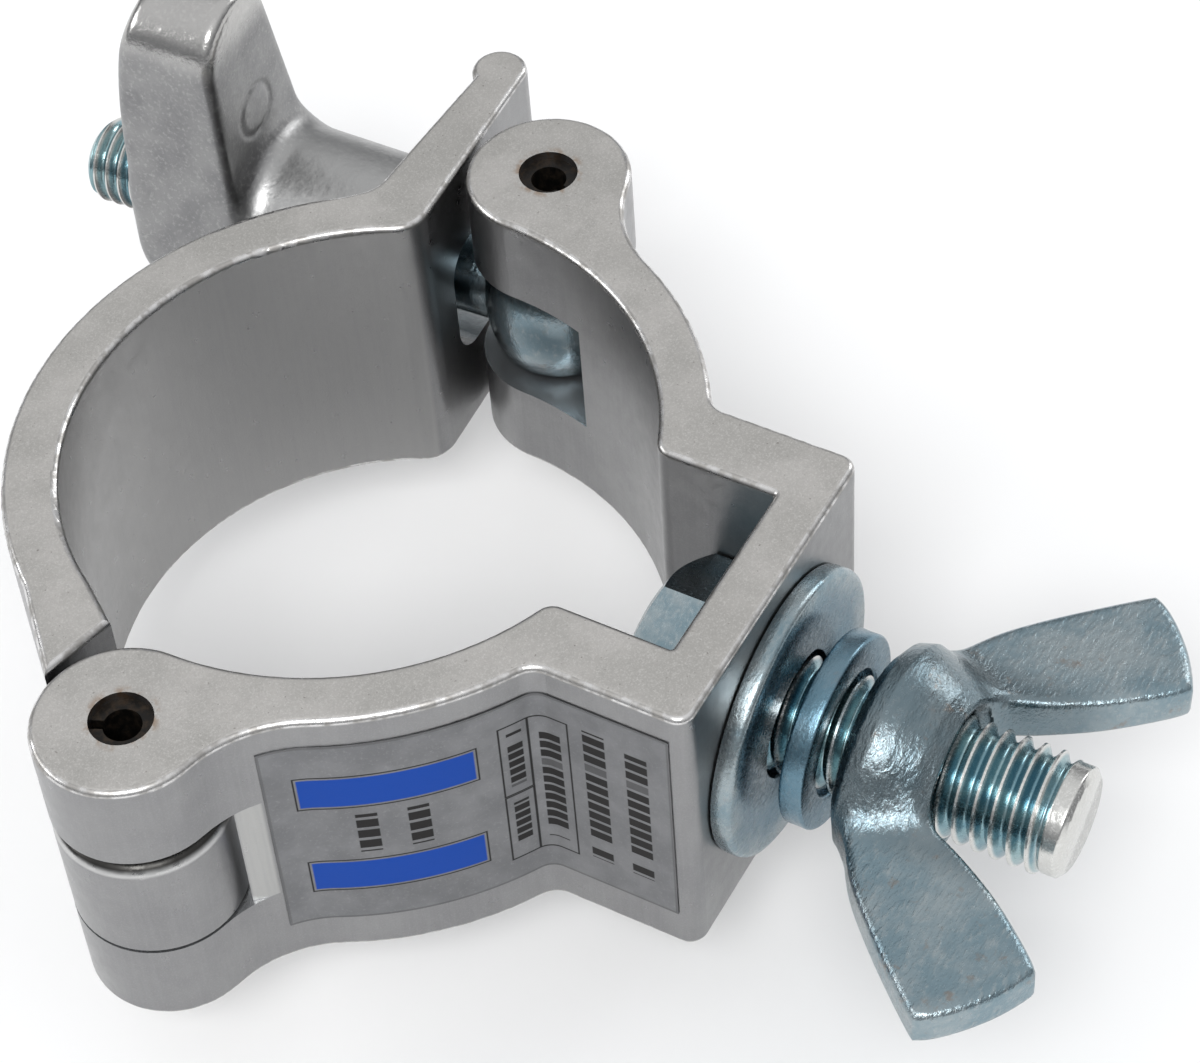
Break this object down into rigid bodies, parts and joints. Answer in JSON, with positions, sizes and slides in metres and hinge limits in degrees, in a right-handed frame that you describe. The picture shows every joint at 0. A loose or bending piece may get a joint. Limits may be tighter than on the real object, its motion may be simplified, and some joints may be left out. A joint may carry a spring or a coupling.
{
  "type": "pipe clamp",
  "caption": "Hinged half coupler for a tube: extruded saddle and jaw on a roll pin, swing bolt with cast wing nut, and a fixing bolt with washers and wing nut on a flat base.",
  "frame": {"origin": "on the tube axis, at the middle of the clamp's width", "axes": "+Z along the tube, +Y from the fixing bolt through the tube towards the jaw, +X towards the swing bolt"},
  "size_m": [0.084, 0.113, 0.0528],
  "materials": {
    "extruded_aluminium": "tumbled, satin sides and matt cut faces",
    "cast_aluminium": "tumbled casting, satin",
    "zinc_plated_steel": "bluish bright zinc plate",
    "black_spring_steel": "black oxide",
    "label_film": "silver label film"
  },
  "bodies": {
    "saddle_body": {"saddle": "extruded_aluminium", "hinge_pin": "black_spring_steel", "swing_pin": "black_spring_steel", "fixing_bolt": "zinc_plated_steel", "flat_washer": "zinc_plated_steel", "rating_label": "label_film"},
    "jaw_body": {"hinged_jaw": "extruded_aluminium"},
    "swing_bolt_body": {"swing_bolt": "zinc_plated_steel"},
    "clamp_nut_body": {"clamp_wing_nut": "cast_aluminium"},
    "spring_washer_body": {"spring_washer": "zinc_plated_steel"},
    "fixing_nut_body": {"fixing_wing_nut": "zinc_plated_steel"}
  },
  "joints": [
    {"name": "swing_bolt_pivot", "type": "hinge", "parent": "saddle_body", "child": "swing_bolt_body", "pos_m": [0.0324, -0.001, 0], "axis": [0, 0, -1], "range_deg": [0, 125]},
    {"name": "clamp_nut_travel", "type": "slide", "parent": "swing_bolt_body", "child": "clamp_nut_body", "axis": [-0.0523, 0.9986, 0], "range_m": [0, 0.0252]},
    {"name": "jaw_hinge", "type": "hinge", "parent": "saddle_body", "child": "jaw_body", "pos_m": [-0.0324, -0.001, 0], "axis": [0, 0, 1], "range_deg": [0, 13.75]},
    {"name": "spring_washer_travel", "type": "slide", "parent": "saddle_body", "child": "spring_washer_body", "axis": [0, -1, 0], "range_m": [-0.00113, 0.00601]},
    {"name": "fixing_nut_turn", "type": "hinge", "parent": "spring_washer_body", "child": "fixing_nut_body", "pos_m": [0, -0.05, 0], "axis": [0, -1, 0], "range_deg": [-270, 1440]}
  ],
  "couplings": [
    {"joint": "clamp_nut_travel", "follows": "swing_bolt_pivot", "m_per_rad": 0.0115},
    {"joint": "jaw_hinge", "follows": "swing_bolt_pivot", "ratio": 0.11},
    {"joint": "spring_washer_travel", "follows": "fixing_nut_turn", "m_per_rad": 0.00023873}
  ]
}
